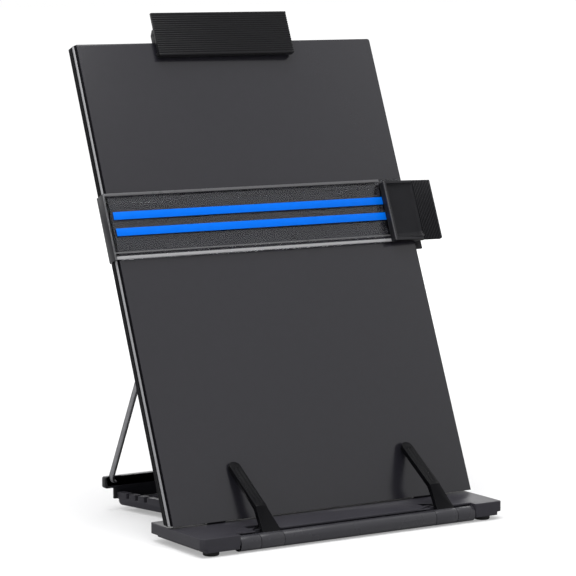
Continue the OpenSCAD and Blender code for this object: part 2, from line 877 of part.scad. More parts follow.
module board() {
    wall = bead_r + 1.4;
    color(board_grey)
        on_board()
            difference() {
                union() {
                    difference() {
                        intersection() {
                            linear_extrude(height = board_h)
                                board_section();
                            pulled_y(-1, board_d + 1)
                                round_rect([-board_w / 2, -20], [board_w / 2, board_h],
                                    board_corner_r);
                        }
                        // open back
                        translate([wall - board_w / 2, face_t, board_d * tan(lean) + 2])
                            cube([board_w - 2 * wall, board_d,
                                board_h - board_d * tan(lean) - 4]);
                        for (side = [-1, 1])
                            translate([side * hinge_x - hinge_w / 2 - gap, face_t, -1])
                                cube([hinge_w + 2 * gap, board_d, 14]);
                    }
                    hinge_cheeks();
                    // stiffening ribs
                    for (s = rib_s)
                        translate([wall - board_w / 2 - 0.5, face_t - 0.5, s])
                            cube([board_w - 2 * wall + 1, rib_h + 0.5, rib_t]);
                    for (x = rib_x)
                        translate([x - rib_t / 2, face_t - 0.5, 3])
                            cube([rib_t, rib_h + 0.5, board_h - 4]);
                    // posts for the clip's screws
                    for (x = clip_screw_x)
                        translate([x, face_t - 0.5, clip_screw_s])
                            rotate([-90, 0, 0])
                                cylinder(r = boss_r, h = board_d - face_t + 0.5);
                }
                for (x = clip_screw_x)
                    translate([x, face_t + 0.6, clip_screw_s])
                        rotate([-90, 0, 0])
                            cylinder(r = screw_d / 2, h = board_d);
                for (side = [-1, 1])
                    translate([side * hinge_x, hinge_y, hinge_s])
                        rod_x(-hinge_w / 2 - gap - cheek_t, hinge_w / 2 + gap + cheek_t,
                            hinge_pin_d / 2);
                // pilot holes under the saddles
                for (side = [-1, 1])
                    for (end = [-1, 1])
                        translate([side * saddle_x, face_t - 1, pivot_s + end * saddle_screw_s])
                            rotate([-90, 0, 0])
                                cylinder(r = screw_d / 2, h = 3);
                // the foot of the board is cut level with the desk
                rotate([lean, 0, 0])
                    translate([-big / 2, -big / 2, -big])
                        cube([big, big, big]);
            }
}

module hinge_pins() {
    color(steel)
        on_board()
            for (side = [-1, 1])
                translate([side * hinge_x, hinge_y, hinge_s])
                    rod_x(-hinge_w / 2 - gap - cheek_t, hinge_w / 2 + gap + cheek_t,
                        hinge_pin_d / 2);
}

// ---------------------------------------------------------------- stand

saddle_screw_s = 8.5;
saddle_plate_t = 1.8;

module wire_saddles() {
    color(near_black)
        on_board()
            for (side = [-1, 1])
                translate([side * saddle_x, 0, pivot_s])
                    difference() {
                        union() {
                            pulled_x(-saddle_w / 2, saddle_w / 2) {
                                translate([face_t, -wire_d / 2 - 1.4])
                                    square([pivot_d - face_t, wire_d + 2.8]);
                                translate([pivot_d, 0])
                                    circle(wire_d / 2 + 1.4);
                            }
                            translate([-saddle_w / 2, face_t, -saddle_screw_s - 3.5])
                                cube([saddle_w, saddle_plate_t, 2 * saddle_screw_s + 7]);
                        }
                        translate([0, pivot_d, 0])
                            rod_x(-saddle_w, saddle_w, wire_d / 2 + run_gap);
                        for (end = [-1, 1])
                            translate([0, face_t - 1, end * saddle_screw_s])
                                rotate([-90, 0, 0])
                                    cylinder(r = screw_d / 2, h = saddle_plate_t + 2);
                    }
}

module pan_head_screw(shank) {
    difference() {
        union() {
            translate([0, 0, -shank])
                cylinder(r = screw_d / 2, h = shank + 0.2);
            cylinder(r = screw_head_r, h = screw_head_h);
        }
        for (turn = [0, 90])
            rotate([0, 0, turn])
                translate([-1.4, -0.3, screw_head_h - 0.5])
                    cube([2.8, 0.6, 0.6]);
    }
}

module saddle_screws() {
    color(steel)
        on_board()
            for (side = [-1, 1])
                for (end = [-1, 1])
                    translate([side * saddle_x, face_t + saddle_plate_t,
                        pivot_s + end * saddle_screw_s])
                        rotate([-90, 0, 0])
                            pan_head_screw(saddle_plate_t + 0.8);
}

// half of the bent wire, drawn flat: x across, y up the leg from the lower run
module half_wire() {
    // lower run and its bend
    rotate([0, 90, 0])
        cylinder(r = wire_d / 2, h = wire_half - bend_r);
    translate([wire_half - bend_r, bend_r, 0])
        rotate([0, 0, -90])
            rotate_extrude(angle = 90)
                translate([bend_r, 0])
                    circle(wire_d / 2);
    // leg
    translate([wire_half, bend_r, 0])
        rotate([-90, 0, 0])
            cylinder(r = wire_d / 2, h = wire_len - 2 * bend_r);
    // upper bend and the stub that turns in the saddle
    translate([wire_half - bend_r, wire_len - bend_r, 0])
        rotate_extrude(angle = 90)
            translate([bend_r, 0])
                circle(wire_d / 2);
    translate([wire_half - bend_r - stub_len, wire_len, 0])
        rotate([0, 90, 0])
            cylinder(r = wire_d / 2, h = stub_len);
}

module on_run() {
    place()
        translate([0, run_y, run_z])
            rotate([90 + wire_lean, 0, 0])
                children();
}

module support_wire() {
    color(near_black)
        on_run() {
            half_wire();
            mirror([1, 0, 0])
                half_wire();
        }
}

module support_foot() {
    beam_z0 = run_z - foot_h / 2;
    color(near_black)
        place()
            difference() {
                union() {
                    // bar with round ends
                    pulled_y(foot_front_y, foot_front_y + foot_t)
                        round_rect([-foot_half, beam_z0], [foot_half, beam_z0 + foot_h], 1.6);
                    // blade that drops between the teeth
                    translate([-blade_half, blade_y0, blade_z])
                        cube([2 * blade_half, blade_t, beam_z0 - blade_z + 1]);
                }
                // groove for the wire, open to the front
                translate([0, run_y, run_z])
                    rod_x(-wire_half - wire_d / 2, wire_half + wire_d / 2, wire_d / 2);
                translate([-wire_half - wire_d / 2, run_y - foot_t, run_z - wire_d / 2])
                    cube([2 * wire_half + wire_d, foot_t, wire_d]);
                // pockets for the two bends and legs
                for (side = [-1, 1])
                    translate([side * (wire_half - bend_r / 2), run_y, run_z])
                        rotate([wire_lean, 0, 0]) {
                            translate([-bend_r / 2 - wire_d / 2 - 1, -wire_d / 2, 0])
                                cube([bend_r + wire_d + 2, wire_d, foot_h]);
                            translate([-bend_r / 2 - wire_d / 2 - 1, -foot_t - wire_d, 0])
                                cube([bend_r + wire_d + 2, foot_t + wire_d, foot_h]);
                        }
            }
}

// ---------------------------------------------------------------- top clip

module clip_ear_shape() {
    difference() {
        polygon([[-1, board_h], [-1, clip_s + 2], [1.6, clip_s + clip_ear_rise],
            [board_d - 3, clip_s + clip_ear_rise], [board_d, clip_s + 2], [board_d, board_h]]);
        translate([clip_pin_y, clip_s])
            circle(clip_pin_d / 2);
    }
}

module clip_body() {
    half = clip_ear_out;
    color(near_black)
        on_board()
            translate([clip_x, 0, 0])
                difference() {
                    union() {
                        // back plate and the bridge over the board's top edge
                        pulled_x(-half, half) {
                            round_rect([board_d, board_h - 34],
                                [board_d + clip_plate_t, board_h + bridge_t], 0.9);
                            translate([-1, board_h])
                                square([board_d + clip_plate_t, bridge_t]);
                        }
                        pulled_x(-half, clip_ear_t - half)
                            clip_ear_shape();
                        pulled_x(half - clip_ear_t, half)
                            clip_ear_shape();
                        // thumb ribs on the back
                        for (k = [-3 : 3])
                            pulled_x(k * 9 - 0.8, k * 9 + 0.8)
                                round_rect([board_d + 0.5, board_h - 10],
                                    [board_d + 2.7, board_h], 0.6);
                    }
                    for (x = clip_screw_x)
                        translate([x - clip_x, board_d - 1, clip_screw_s])
                            rotate([-90, 0, 0])
                                cylinder(r = screw_d / 2, h = clip_plate_t + 2);
                }
}

module clip_screws() {
    color(steel)
        on_board()
            for (x = clip_screw_x)
                translate([x, board_d + clip_plate_t, clip_screw_s])
                    rotate([-90, 0, 0])
                        pan_head_screw(7);
}

module clip_pin() {
    color(steel)
        on_board()
            translate([clip_x, clip_pin_y, clip_s])
                rod_x(-clip_ear_out, clip_ear_out, clip_pin_d / 2);
}

module clip_spring() {
    color(steel)
        on_board()
            translate([clip_x, clip_pin_y, clip_s])
                torsion_spring(-5, 8, 2.6, 0.45, 180, 2.4);
}

// side view of the jaw: a ribbed plate with a lip that turns in to the page
module jaw_side() {
    count = floor((jaw_h - 2) / jaw_rib_pitch);
    front = -jaw_front;
    back = -jaw_front + jaw_t;
    start = jaw_s0 + (jaw_h - count * jaw_rib_pitch) / 2;
    polygon(concat([[back, jaw_s0], [front + 0.5, jaw_s0], [front, jaw_s0 + 0.5]],
        [for (k = [0 : count - 1]) each [[front, start + k * jaw_rib_pitch],
            [front + 0.4, start + (k + 0.25) * jaw_rib_pitch],
            [front + 0.4, start + (k + 0.5) * jaw_rib_pitch],
            [front, start + (k + 0.75) * jaw_rib_pitch]]],
        [[front, jaw_s1 - 0.5], [front + 0.5, jaw_s1], [back, jaw_s1]]));
    // lip towards the board
    translate([back - 0.5, jaw_s0])
        square([jaw_front - jaw_t - grip_t - gap + 0.5, 3]);
}

module jaw_lug() {
    back = -jaw_front + jaw_t;
    r = clip_pin_s - bridge_t - 0.8;
    difference() {
        union() {
            translate([clip_pin_y, clip_s])
                circle(r);
            translate([back - 0.5, clip_s - r])
                square([clip_pin_y - back + 0.5, 2 * r]);
        }
        translate([clip_pin_y, clip_s])
            circle(clip_pin_d / 2 + run_gap);
    }
}

module clip_jaw() {
    lug_out = clip_ear_out - clip_ear_t - gap;
    color(near_black)
        on_board()
            translate([clip_x, 0, 0]) {
                pulled_x(-jaw_w / 2, jaw_w / 2)
                    jaw_side();
                pulled_x(-lug_out, 4 - lug_out)
                    jaw_lug();
                pulled_x(lug_out - 4, lug_out)
                    jaw_lug();
            }
}

module clip_grip() {
    color(rubber)
        on_board()
            translate([clip_x - jaw_w / 2 + 2, -gap - grip_t, jaw_s0 + 0.2])
                cube([jaw_w - 4, grip_t, 2.6]);
}

// ---------------------------------------------------------------- line guide

strip_left = -hook_x;
strip_right = board_w / 2 - 2;
catch_y = lip_t + 1.2 + 2 * bead_r + 0.3;

// side view of the strip: a flat web with two ribs along each edge
module strip_side() {
    s0 = guide_s;
    s1 = guide_s + strip_h;
    translate([strip_y0, s0])
        square([strip_t, strip_h]);
    for (rib = [[s0, 2.2], [s0 + 4, 1], [s1 - 6.4, 1], [s1 - 2, 2]])
        translate([strip_y0 - strip_rib, rib[0]])
            square([strip_rib + 0.5, rib[1]]);
}

module guide_strip() {
    color([0.85, 0.87, 0.9, 0.35])
        on_board()
            difference() {
                union() {
                    pulled_x(strip_left + 1, strip_right)
                        strip_side();
                    // hook round the board's left edge
                    translate([strip_left, strip_y0, guide_s])
                        cube([hook_t, catch_y + 1 - strip_y0, strip_h]);
                    translate([strip_left, strip_y0, guide_s])
                        cube([hook_t + 1, strip_t, strip_h]);
                    translate([strip_left, catch_y, guide_s])
                        cube([hook_t + 0.8, 1, strip_h]);
                }
                // the ribs stop where the clamp sits
                translate([clamp_x0 - gap, strip_y0 - 2, guide_s - 1])
                    cube([big, 2, strip_h + 2]);
            }
}

module guide_stripes() {
    color(stripe_blue)
        on_board()
            for (k = [0, 1])
                translate([3.5 - board_w / 2, strip_y0 - stripe_t,
                    guide_s + stripe_s + k * stripe_pitch])
                    cube([clamp_x0 - gap - 3.5 + board_w / 2, stripe_t, stripe_w]);
}

// section of the clamp across the board's edge: a block on the strip and a ribbed finger pad
module clamp_section() {
    slope = tan(clamp_tilt);
    wall_x = pad_x0 + 1.6;
    ribs = floor((finger_w - 1) / 1.4);
    function front_y(x) = -clamp_front + (x - clamp_x0) * slope;
    polygon([[clamp_x0, strip_y0], [clamp_x0, front_y(clamp_x0) + 0.6],
        [clamp_x0 + 0.6, front_y(clamp_x0)], [pad_x0, front_y(pad_x0)],
        [pad_x0 + 0.4, front_y(pad_x0) + 0.6], [wall_x, front_y(pad_x0) + 0.6],
        [wall_x, strip_y0]]);
    polygon(concat([[pad_x0 - 2, front_y(pad_x0) + finger_t], [pad_x0 - 2, front_y(pad_x0)]],
        [for (k = [0 : ribs - 1]) each [[pad_x0 + k * 1.4, front_y(pad_x0 + k * 1.4)],
            [pad_x0 + (k + 0.3) * 1.4, front_y(pad_x0 + k * 1.4) + 0.5],
            [pad_x0 + (k + 0.5) * 1.4, front_y(pad_x0 + k * 1.4) + 0.5],
            [pad_x0 + (k + 0.8) * 1.4, front_y(pad_x0 + k * 1.4)]]],
        [[clamp_x1 - 0.5, front_y(clamp_x1)], [clamp_x1, front_y(clamp_x1) + 0.5],
         [clamp_x1, front_y(clamp_x1) + finger_t]]));
}

module clamp_ear() {
    difference() {
        union() {
            translate([pin_x, clamp_pin_y])
                circle(clamp_ear_r);
            translate([pin_x - clamp_ear_r, strip_y0 - 3])
                square([2 * clamp_ear_r, clamp_pin_y - strip_y0 + 3]);
        }
        translate([pin_x, clamp_pin_y])
            circle(clamp_pin_d / 2);
    }
}

module clamp_body() {
    pocket_y = strip_y0 - 1.4;
    color(near_black)
        on_board()
            union() {
                difference() {
                    intersection() {
                        translate([0, 0, clamp_s0])
                            linear_extrude(height = clamp_h)
                                clamp_section();
                        pulled_y(-clamp_front - 2, 2) {
                            round_rect([clamp_x0, clamp_s0], [pad_x0, clamp_s1], 1);
                            round_rect([clamp_x0 + 4, clamp_s0], [clamp_x1, clamp_s1],
                                finger_corner_r);
                        }
                    }
                    // pocket with a sloping lower wall
                    pulled_x(clamp_x0 + rim_t, pad_x0)
                        polygon([[-clamp_front - 1, clamp_s0 + rim_t],
                            [-clamp_front - 1, clamp_s1 - rim_t], [pocket_y, clamp_s1 - rim_t],
                            [pocket_y, clamp_s0 + rim_t + 6.5],
                            [-clamp_front + 1, clamp_s0 + rim_t]]);
                }
                for (s = [clamp_s0 + 2, clamp_s1 - 2 - clamp_ear_t])
                    translate([0, 0, s])
                        linear_extrude(height = clamp_ear_t)
                            clamp_ear();
            }
}

module clamp_pin() {
    color(steel)
        on_board()
            translate([pin_x, clamp_pin_y, clamp_s0 + 2])
                cylinder(r = clamp_pin_d / 2, h = clamp_h - 4);
}

module clamp_spring() {
    color(steel)
        on_board()
            translate([pin_x, clamp_pin_y, (clamp_s0 + clamp_s1) / 2])
                rotate([0, -90, 0])
                    torsion_spring(-4, 7, 1.9, 0.35, 90, 1.4);
}

pad_t = 0.8;
jaw_plate_y = board_d + gap + pad_t;
jaw_plate_t = 2.2;

module clamp_jaw() {
    knuckle_h = 8;
    lo = clamp_s0 + 2 + clamp_ear_t + gap;
    hi = clamp_s1 - 2 - clamp_ear_t - gap;
    color(near_black)
        on_board() {
            // plate behind the board, out to the finger tab
            difference() {
                translate([0, 0, clamp_s0 - 2.3])
                    linear_extrude(height = clamp_h + 4.6)
                        round_rect([board_w / 2 - 8, jaw_plate_y],
                            [board_w / 2 + 12.5, jaw_plate_y + jaw_plate_t], 0.8);
                // a notch in each end
                for (s = [clamp_s0 - 3.3, clamp_s1 - 0.7])
                    translate([board_w / 2 - 0.5, jaw_plate_y - 1, s])
                        cube([4.5, jaw_plate_t + 2, 4]);
            }
            for (s = [lo, hi - knuckle_h])
                translate([0, 0, s])
                    linear_extrude(height = knuckle_h)
                        difference() {
                            union() {
                                translate([pin_x, clamp_pin_y])
                                    circle(clamp_ear_r);
                                translate([pin_x - clamp_ear_r, clamp_pin_y])
                                    square([2 * clamp_ear_r, jaw_plate_y - clamp_pin_y + 0.5]);
                            }
                            translate([pin_x, clamp_pin_y])
                                circle(clamp_pin_d / 2 + run_gap);
                        }
        }
}

module clamp_pad() {
    color(rubber)
        on_board()
            translate([board_w / 2 - 5, board_d + gap, clamp_s0 + 8])
                cube([4.2, pad_t, clamp_h - 16]);
}

base_cover();
base_pan();
feet();
base_screws();
rear_rack();
front_rail();
rail_rod();
left_spring_barrel();
left_leg_spring();
left_leg();
left_leg_tip();
right_spring_barrel();
right_leg_spring();
right_leg();
right_leg_tip();
board();
hinge_pins();
wire_saddles();
saddle_screws();
support_wire();
support_foot();
clip_body();
clip_screws();
clip_pin();
clip_spring();
clip_jaw();
clip_grip();
guide_strip();
guide_stripes();
clamp_body();
clamp_pin();
clamp_spring();
clamp_jaw();
clamp_pad();
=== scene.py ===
import bpy
import bmesh
import math
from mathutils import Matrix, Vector
from mathutils.bvhtree import BVHTree


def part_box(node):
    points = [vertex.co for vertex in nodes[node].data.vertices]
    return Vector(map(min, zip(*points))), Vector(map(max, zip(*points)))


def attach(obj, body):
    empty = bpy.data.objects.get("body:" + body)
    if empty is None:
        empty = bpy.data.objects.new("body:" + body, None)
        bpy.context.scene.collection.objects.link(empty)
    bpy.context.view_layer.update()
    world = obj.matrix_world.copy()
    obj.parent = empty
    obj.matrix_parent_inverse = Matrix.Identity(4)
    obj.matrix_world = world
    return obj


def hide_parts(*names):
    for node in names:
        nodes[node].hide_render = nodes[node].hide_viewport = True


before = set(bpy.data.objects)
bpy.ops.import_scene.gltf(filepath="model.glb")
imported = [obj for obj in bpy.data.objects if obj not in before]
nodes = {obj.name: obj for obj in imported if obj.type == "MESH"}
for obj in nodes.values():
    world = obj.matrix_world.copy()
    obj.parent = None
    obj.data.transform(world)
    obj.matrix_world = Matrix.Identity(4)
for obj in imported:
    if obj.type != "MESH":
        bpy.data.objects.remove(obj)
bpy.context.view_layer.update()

# ---------------------------------------------------------------------------
# The camera stands in front of the holder and to its left, a little above the
# holder's top, at the photograph's long focal length.
SENSOR_MM = 36
LENS_MM = 169.16
FARTHEST_SEEN = 60
CAMERA_PLACE = (-0.9726, -1.56182, 0.36816)
CAMERA_TURN = (83.459, 0.325, -31.80)

camera_data = bpy.data.cameras.new("camera")
camera_data.sensor_width = SENSOR_MM
camera_data.lens = LENS_MM
camera_data.clip_end = FARTHEST_SEEN
camera = bpy.data.objects.new("camera", camera_data)
camera.location = CAMERA_PLACE
camera.rotation_euler = [math.radians(turn) for turn in CAMERA_TURN]
bpy.context.scene.collection.objects.link(camera)
bpy.context.scene.camera = camera
bpy.context.scene.view_settings.view_transform = "Standard"

# ---------------------------------------------------------------------------
# The desk top: a plain pale sheet that keeps the holder's soft shadow. To the
# eye it runs out into white.
DESK_SIZE = 60
DESK_SHADE = (0.60, 0.60, 0.605, 1)
DESK_GLOW_NEAR = 0.33
DESK_GLOW_FAR = 0.72
DESK_GLOW_FROM = 0.45
DESK_GLOW_TO = 1.6


def new_finish(name):
    finish = bpy.data.materials.new(name)
    finish.use_nodes = True
    finish.node_tree.nodes.clear()
    return finish, finish.node_tree.nodes, finish.node_tree.links


desk_mesh = bpy.data.meshes.new("desk_top")
half_desk = DESK_SIZE / 2
desk_mesh.from_pydata([(-half_desk, -half_desk, 0), (half_desk, -half_desk, 0),
                       (half_desk, half_desk, 0), (-half_desk, half_desk, 0)], [], [(0, 1, 2, 3)])
desk = bpy.data.objects.new("desk_top", desk_mesh)
bpy.context.scene.collection.objects.link(desk)
desk_finish, n, l = new_finish("desk_finish")
desk_out = n.new("ShaderNodeOutputMaterial")
desk_sum = n.new("ShaderNodeAddShader")
desk_matt = n.new("ShaderNodeBsdfDiffuse")
desk_matt.inputs["Color"].default_value = DESK_SHADE
desk_lit = n.new("ShaderNodeEmission")
desk_path = n.new("ShaderNodeLightPath")
desk_spot = n.new("ShaderNodeTexCoord")
desk_reach = n.new("ShaderNodeVectorMath")
desk_reach.operation = "LENGTH"
desk_glow = n.new("ShaderNodeMapRange")
desk_glow.inputs["From Min"].default_value = DESK_GLOW_FROM
desk_glow.inputs["From Max"].default_value = DESK_GLOW_TO
desk_glow.inputs["To Min"].default_value = DESK_GLOW_NEAR
desk_glow.inputs["To Max"].default_value = DESK_GLOW_FAR
desk_level = n.new("ShaderNodeMath")
desk_level.operation = "MULTIPLY"
l.new(desk_spot.outputs["Object"], desk_reach.inputs[0])
l.new(desk_reach.outputs["Value"], desk_glow.inputs["Value"])
l.new(desk_glow.outputs["Result"], desk_level.inputs[1])
l.new(desk_path.outputs["Is Camera Ray"], desk_level.inputs[0])
l.new(desk_level.outputs[0], desk_lit.inputs["Strength"])
l.new(desk_matt.outputs[0], desk_sum.inputs[0])
l.new(desk_lit.outputs[0], desk_sum.inputs[1])
l.new(desk_sum.outputs[0], desk_out.inputs["Surface"])
desk_mesh.materials.append(desk_finish)

# ---------------------------------------------------------------------------
# The studio: an even white surround, seen at full white by the eye, in gloss
# and through clear plastic, with a broad soft lamp overhead, a tall narrow one
# at the left and a smaller one behind.
SURROUND_LIGHT = 0.60

surround = bpy.data.worlds.new("surround")
bpy.context.scene.world = surround
surround.use_nodes = True
n, l = surround.node_tree.nodes, surround.node_tree.links
n.clear()
surround_out = n.new("ShaderNodeOutputWorld")
surround_back = n.new("ShaderNodeBackground")
surround_back.inputs["Color"].default_value = (1, 1, 1, 1)
surround_path = n.new("ShaderNodeLightPath")
eye_or_clear = n.new("ShaderNodeMath")
eye_or_clear.operation = "MAXIMUM"
or_gloss = n.new("ShaderNodeMath")
or_gloss.operation = "MAXIMUM"
surround_level = n.new("ShaderNodeMapRange")
surround_level.inputs["To Min"].default_value = SURROUND_LIGHT
surround_level.inputs["To Max"].default_value = 1.0
l.new(surround_path.outputs["Is Camera Ray"], eye_or_clear.inputs[0])
l.new(surround_path.outputs["Is Transmission Ray"], eye_or_clear.inputs[1])
l.new(eye_or_clear.outputs[0], or_gloss.inputs[0])
l.new(surround_path.outputs["Is Glossy Ray"], or_gloss.inputs[1])
l.new(or_gloss.outputs[0], surround_level.inputs["Value"])
l.new(surround_level.outputs["Result"], surround_back.inputs["Strength"])
l.new(surround_back.outputs[0], surround_out.inputs["Surface"])


def soft_lamp(name, place, target, size, watts):
    lamp_data = bpy.data.lights.new(name, "AREA")
    lamp_data.shape = "RECTANGLE"
    lamp_data.size, lamp_data.size_y = size
    lamp_data.energy = watts
    lamp = bpy.data.objects.new(name, lamp_data)
    lamp.location = place
    lamp.rotation_euler = (Vector(target) - Vector(place)).to_track_quat("-Z", "Y").to_euler()
    lamp.visible_camera = False
    bpy.context.scene.collection.objects.link(lamp)


soft_lamp("overhead_lamp", (-0.3, -0.3, 2.0), (0, 0, 0.1), (1.7, 1.7), 37)
soft_lamp("strip_lamp", (-1.42, -0.82, 0.95), (0, 0, 0.15), (0.14, 1.5), 6)
soft_lamp("back_lamp", (1.0, 1.5, 0.9), (0, 0, 0.1), (1.0, 0.7), 5)

# ---------------------------------------------------------------------------
# Base pan and cover: the cover is moulded in dark grey plastic with a fine
# spark grain, and the flat pan closes it from below. Mould edges are softened.
BASE_GREY = (0.031, 0.0300, 0.0365)
BASE_GLOSS = 0.38
BASE_REFLECT = 0.14
PAN_EDGE = 0.00035
MOULD_EDGE = 0.0003
DRIFT_SCALE = 170
HANDLING_SCALE = 22
GRAIN_HEIGHT = 0.0003


def moulded(name, colour, roughness, grain_mm=0.35, grain_depth=0.05, mottle=0.035,
            sheen_spread=0.04, reflect=0.35):
    """Moulded plastic: a faint drift in its colour, a fine grain, gloss that varies a little."""
    finish, n, l = new_finish(name)
    out = n.new("ShaderNodeOutputMaterial")
    skin = n.new("ShaderNodeBsdfPrincipled")
    spot = n.new("ShaderNodeTexCoord")
    drift = n.new("ShaderNodeTexNoise")
    drift.inputs["Scale"].default_value = DRIFT_SCALE
    drift.inputs["Detail"].default_value = 5
    tone = n.new("ShaderNodeValToRGB")
    tone.color_ramp.elements[0].position = 0.3
    tone.color_ramp.elements[0].color = tuple(c * (1 - mottle) for c in colour) + (1,)
    tone.color_ramp.elements[1].position = 0.7
    tone.color_ramp.elements[1].color = tuple(c * (1 + mottle) for c in colour) + (1,)
    handling = n.new("ShaderNodeTexNoise")
    handling.inputs["Scale"].default_value = HANDLING_SCALE
    handling.inputs["Detail"].default_value = 6
    gloss = n.new("ShaderNodeMapRange")
    gloss.inputs["From Min"].default_value = 0.3
    gloss.inputs["From Max"].default_value = 0.7
    gloss.inputs["To Min"].default_value = roughness - sheen_spread
    gloss.inputs["To Max"].default_value = roughness + sheen_spread
    grain = n.new("ShaderNodeTexNoise")
    grain.inputs["Scale"].default_value = 1000 / grain_mm
    grain.inputs["Detail"].default_value = 2
    relief = n.new("ShaderNodeBump")
    relief.inputs["Strength"].default_value = grain_depth
    relief.inputs["Distance"].default_value = GRAIN_HEIGHT
    l.new(spot.outputs["Object"], drift.inputs["Vector"])
    l.new(spot.outputs["Object"], handling.inputs["Vector"])
    l.new(spot.outputs["Object"], grain.inputs["Vector"])
    l.new(drift.outputs["Fac"], tone.inputs["Fac"])
    l.new(tone.outputs["Color"], skin.inputs["Base Color"])
    l.new(handling.outputs["Fac"], gloss.inputs["Value"])
    l.new(gloss.outputs["Result"], skin.inputs["Roughness"])
    l.new(grain.outputs["Fac"], relief.inputs["Height"])
    l.new(relief.outputs["Normal"], skin.inputs["Normal"])
    skin.inputs["Specular IOR Level"].default_value = reflect
    l.new(skin.outputs[0], out.inputs["Surface"])
    return finish


BROAD_SHARE = 0.004
SMALL_FACE = 0.00001


def show(name, form, body, finish, smooth_angle=32):
    """Turns a finished form into a piece that rides on its body; broad faces are shaded flat."""
    mesh = bpy.data.meshes.new(name)
    form.normal_update()
    form.to_mesh(mesh)
    form.free()
    for face in mesh.polygons:
        rim = [mesh.vertices[v].co for v in face.vertices]
        round_it = sum((a - b).length for a, b in zip(rim, rim[1:] + rim[:1]))
        broad = len(rim) > 4 or face.area > BROAD_SHARE * round_it ** 2
        face.use_smooth = face.area < SMALL_FACE or not broad
    mesh.set_sharp_from_angle(angle=math.radians(smooth_angle))
    mesh.materials.append(finish)
    piece = bpy.data.objects.new(name, mesh)
    bpy.context.scene.collection.objects.link(piece)
    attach(piece, body)
    return piece


WELD = 2e-6
FLAT_WITHIN = math.radians(0.6)
CRISP_FROM = math.radians(38)
SPIKE_SHARE = 0.6


def soft_edged(node, name, body, finish, edge, rounds=2, smooth_angle=32, reshape=None,
               cuts=()):
    """A moulding with the small edge rounds that its tool leaves; it stands for the plain solid."""
    form = bmesh.new()
    form.from_mesh(nodes[node].data)
    bmesh.ops.remove_doubles(form, verts=form.verts, dist=WELD)
    if reshape:
        for corner in form.verts:
            corner.co = reshape(corner.co)
    for place in cuts:
        bmesh.ops.bisect_plane(form, geom=form.verts[:] + form.edges[:] + form.faces[:],
                               plane_co=place, plane_no=(1, 0, 0))
    bmesh.ops.dissolve_limit(form, angle_limit=FLAT_WITHIN, verts=form.verts,
                             edges=form.edges, use_dissolve_boundaries=False)
    crisp = [e for e in form.edges if len(e.link_faces) == 2
             and e.calc_face_angle(0) > CRISP_FROM]
    if crisp and edge:
        skin = BVHTree.FromBMesh(form)
        bmesh.ops.bevel(form, geom=crisp, offset=edge, offset_type="OFFSET", segments=rounds,
                        profile=0.5, affect="EDGES", clamp_overlap=False, harden_normals=False)
        for corner in form.verts:
            place, _, _, away = skin.find_nearest(corner.co)
            if away > edge * SPIKE_SHARE:
                corner.co = place
        low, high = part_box(node)
        for corner in form.verts:
            corner.co = [min(max(c, a), b) for c, a, b in zip(corner.co, low, high)]
    piece = show(name, form, body, finish, smooth_angle)
    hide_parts(node)
    return piece


base_plastic = moulded("base_plastic", BASE_GREY, BASE_GLOSS, reflect=BASE_REFLECT)
soft_edged("base_pan", "pan_moulding", "base", base_plastic, PAN_EDGE)
soft_edged("base_cover", "cover_moulding", "base", base_plastic, MOULD_EDGE)

# ---------------------------------------------------------------------------
# Screws under the base: bright steel pan heads with a cross recess, sunk in
# the pan and driven into the cover's posts.
SCREW_EDGE = 0.00018
STREAK_DARK = 0.82
STREAK_HEIGHT = 0.0001


def drawn_steel(name, colour, roughness, streak=(40, 900, 900)):
    """Drawn or turned steel: fine streaks along its length in tone and gloss."""
    finish, n, l = new_finish(name)
    out = n.new("ShaderNodeOutputMaterial")
    skin = n.new("ShaderNodeBsdfPrincipled")
    skin.inputs["Metallic"].default_value = 1
    spot = n.new("ShaderNodeTexCoord")
    stretch = n.new("ShaderNodeMapping")
    stretch.inputs["Scale"].default_value = streak
    streaks = n.new("ShaderNodeTexNoise")
    streaks.inputs["Scale"].default_value = 4
    streaks.inputs["Detail"].default_value = 4
    tone = n.new("ShaderNodeValToRGB")
    tone.color_ramp.elements[0].position = 0.3
    tone.color_ramp.elements[0].color = tuple(c * STREAK_DARK for c in colour) + (1,)
    tone.color_ramp.elements[1].position = 0.7
    tone.color_ramp.elements[1].color = colour + (1,)
    gloss = n.new("ShaderNodeMapRange")
    gloss.inputs["To Min"].default_value = roughness - 0.06
    gloss.inputs["To Max"].default_value = roughness + 0.1
    relief = n.new("ShaderNodeBump")
    relief.inputs["Strength"].default_value = 0.05
    relief.inputs["Distance"].default_value = STREAK_HEIGHT
    l.new(spot.outputs["Object"], stretch.inputs["Vector"])
    l.new(stretch.outputs["Vector"], streaks.inputs["Vector"])
    l.new(streaks.outputs["Fac"], tone.inputs["Fac"])
    l.new(tone.outputs["Color"], skin.inputs["Base Color"])
    l.new(streaks.outputs["Fac"], gloss.inputs["Value"])
    l.new(gloss.outputs["Result"], skin.inputs["Roughness"])
    l.new(streaks.outputs["Fac"], relief.inputs["Height"])
    l.new(relief.outputs["Normal"], skin.inputs["Normal"])
    l.new(skin.outputs[0], out.inputs["Surface"])
    return finish


screw_steel = drawn_steel("screw_steel", (0.56, 0.57, 0.59), 0.28, streak=(300, 300, 900))
soft_edged("base_screws", "pan_screws", "base", screw_steel, SCREW_EDGE)

# ---------------------------------------------------------------------------
# Feet: four round rubber pads stuck under the base and under the rack's floor.
foot_rubber = moulded("foot_rubber", (0.012, 0.012, 0.012), 0.72, grain_mm=0.6,
                      grain_depth=0.2, mottle=0.10, reflect=0.3)
soft_edged("feet", "rubber_feet", "base", foot_rubber, MOULD_EDGE, rounds=3)

# ---------------------------------------------------------------------------
# Rack: the same grey plastic as the base. Its tongue is held in the base, its
# two arms carry the notches and its sill and ramp carry the foot bar's blade.
soft_edged("rear_rack", "rack_moulding", "base", base_plastic, MOULD_EDGE)

